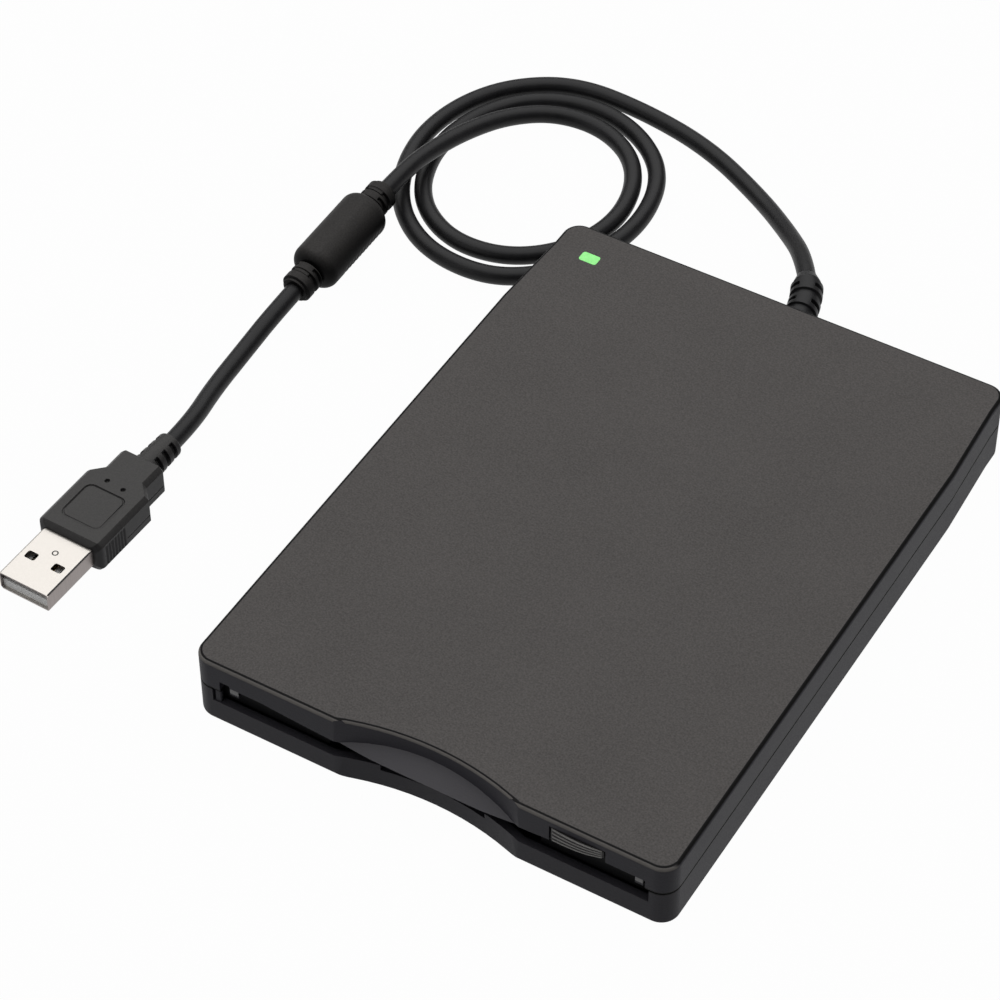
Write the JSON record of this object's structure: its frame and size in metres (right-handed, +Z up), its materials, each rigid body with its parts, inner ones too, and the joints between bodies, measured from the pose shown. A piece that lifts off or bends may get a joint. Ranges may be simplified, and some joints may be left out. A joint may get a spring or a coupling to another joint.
{
  "type": "external floppy disk drive",
  "caption": "Flat external floppy disk drive with a finger recess, slot with dust door, eject button, status lens and a coiled USB cord with a ferrite bead.",
  "frame": {"origin": "on the table under the middle of the housing", "axes": "+X to the right seen from the slot, +Y from the slot towards the cord, +Z up"},
  "size_m": [0.1547, 0.1991, 0.017],
  "materials": {
    "shell_top": "fine matte texture",
    "shell_base": "fine matte texture",
    "button": "satin",
    "door": "satin",
    "lens": "clear green",
    "clear": "clear",
    "rubber": "matte",
    "cord_black": "satin",
    "plug_black": "satin",
    "screw_steel": "zinc plated",
    "sheet_steel": "plain",
    "spring_steel": "plain",
    "cast": "cast",
    "magnet": "sintered",
    "copper": "enamelled wire",
    "bearing_brass": "plain",
    "head_ceramic": "ceramic",
    "black_plastic": "plain",
    "board_green": "solder mask",
    "chip_black": "plain",
    "plug_nickel": "nickel plated",
    "contact_gold": "gold plated",
    "insulator": "plain",
    "wire_mix": "insulated wire",
    "ferrite": "sintered",
    "polyester": "film"
  },
  "bodies": {
    "housing": {"top_cover": "shell_top", "bottom_cover": "shell_base", "status_lens": "lens", "light_pipe": "clear", "rubber_feet": "rubber", "housing_screws": "screw_steel", "drive_screws": "screw_steel", "door_springs": "spring_steel", "drive_chassis": "sheet_steel", "drive_top_plate": "sheet_steel", "top_plate_screws": "screw_steel", "slide_springs": "spring_steel", "latch_pivot": "bearing_brass", "disk_sensors": "black_plastic", "stator_board": "board_green", "stator_coils": "copper", "spindle_bearing": "bearing_brass", "guide_rods": "spring_steel", "rod_clamps": "black_plastic", "motor_bracket": "sheet_steel", "stepper_motor": "cast", "control_board": "board_green", "control_chips": "chip_black", "usb_board": "board_green", "usb_chips": "chip_black", "crystal": "screw_steel", "flex_sockets": "insulator", "flat_cable": "polyester", "status_lamp": "lens", "cord_socket": "insulator", "cord_wires": "wire_mix", "cord_boot": "cord_black", "usb_cord": "cord_black", "bead_housing": "plug_black", "bead_core": "ferrite", "plug_grip": "plug_black", "plug_shell": "plug_nickel", "plug_tongue": "insulator", "plug_contacts": "contact_gold"},
    "slide": {"slide_plate": "sheet_steel", "eject_button": "button"},
    "holder": {"disk_holder": "sheet_steel", "holder_pins": "spring_steel"},
    "latch": {"latch_lever": "black_plastic"},
    "rotor": {"spindle_rotor": "sheet_steel", "rotor_magnet": "magnet", "spindle_hub": "cast", "drive_pin": "spring_steel"},
    "carriage": {"head_carriage": "cast", "lower_head": "head_ceramic", "arm_pin": "spring_steel", "screw_follower": "black_plastic"},
    "upper_arm": {"upper_head_arm": "cast", "upper_head": "head_ceramic"},
    "screw": {"lead_screw": "spring_steel"},
    "left_wing": {"left_door": "door"},
    "right_wing": {"right_door": "door"}
  },
  "joints": [
    {"name": "slide_travel", "type": "slide", "parent": "housing", "child": "slide", "axis": [0, -1, 0], "range_m": [0, 0.0036], "stiffness_N_per_m": 150, "springref_m": -0.004},
    {"name": "holder_drop", "type": "slide", "parent": "housing", "child": "holder", "axis": [0, 0, -1], "range_m": [0, 0.0022]},
    {"name": "latch_turn", "type": "hinge", "parent": "housing", "child": "latch", "pos_m": [-0.03, 0.034, 0.0073], "axis": [0, 0, 1], "range_deg": [0, 25]},
    {"name": "spindle_turn", "type": "hinge", "parent": "housing", "child": "rotor", "pos_m": [0, -0.0175, 0.004], "axis": [0, 0, 1], "continuous": true},
    {"name": "carriage_travel", "type": "slide", "parent": "housing", "child": "carriage", "axis": [0, -1, 0], "range_m": [0, 0.0148]},
    {"name": "arm_turn", "type": "hinge", "parent": "carriage", "child": "upper_arm", "pos_m": [0, 0.0505, 0.0105], "axis": [1, 0, 0], "range_deg": [0, 8.2]},
    {"name": "screw_turn", "type": "hinge", "parent": "housing", "child": "screw", "pos_m": [0.02, 0.039, 0.0085], "axis": [0, 1, 0], "range_deg": [0, 1776.1]},
    {"name": "left_wing_turn", "type": "hinge", "parent": "housing", "child": "left_wing", "pos_m": [-0.0345, -0.0686, 0.0127], "axis": [1, 0, 0], "range_deg": [0, 75], "stiffness_Nm_per_rad": 0.0004, "springref_deg": -17.19},
    {"name": "right_wing_turn", "type": "hinge", "parent": "housing", "child": "right_wing", "pos_m": [0.0352, -0.0686, 0.0127], "axis": [1, 0, 0], "range_deg": [0, 75], "stiffness_Nm_per_rad": 0.0004, "springref_deg": -17.19}
  ],
  "couplings": [
    {"joint": "holder_drop", "follows": "slide_travel", "ratio": 0.61111},
    {"joint": "latch_turn", "follows": "slide_travel", "rad_per_m": 121.2},
    {"joint": "arm_turn", "follows": "slide_travel", "rad_per_m": 39.75},
    {"joint": "screw_turn", "follows": "carriage_travel", "rad_per_m": 2094.4}
  ]
}
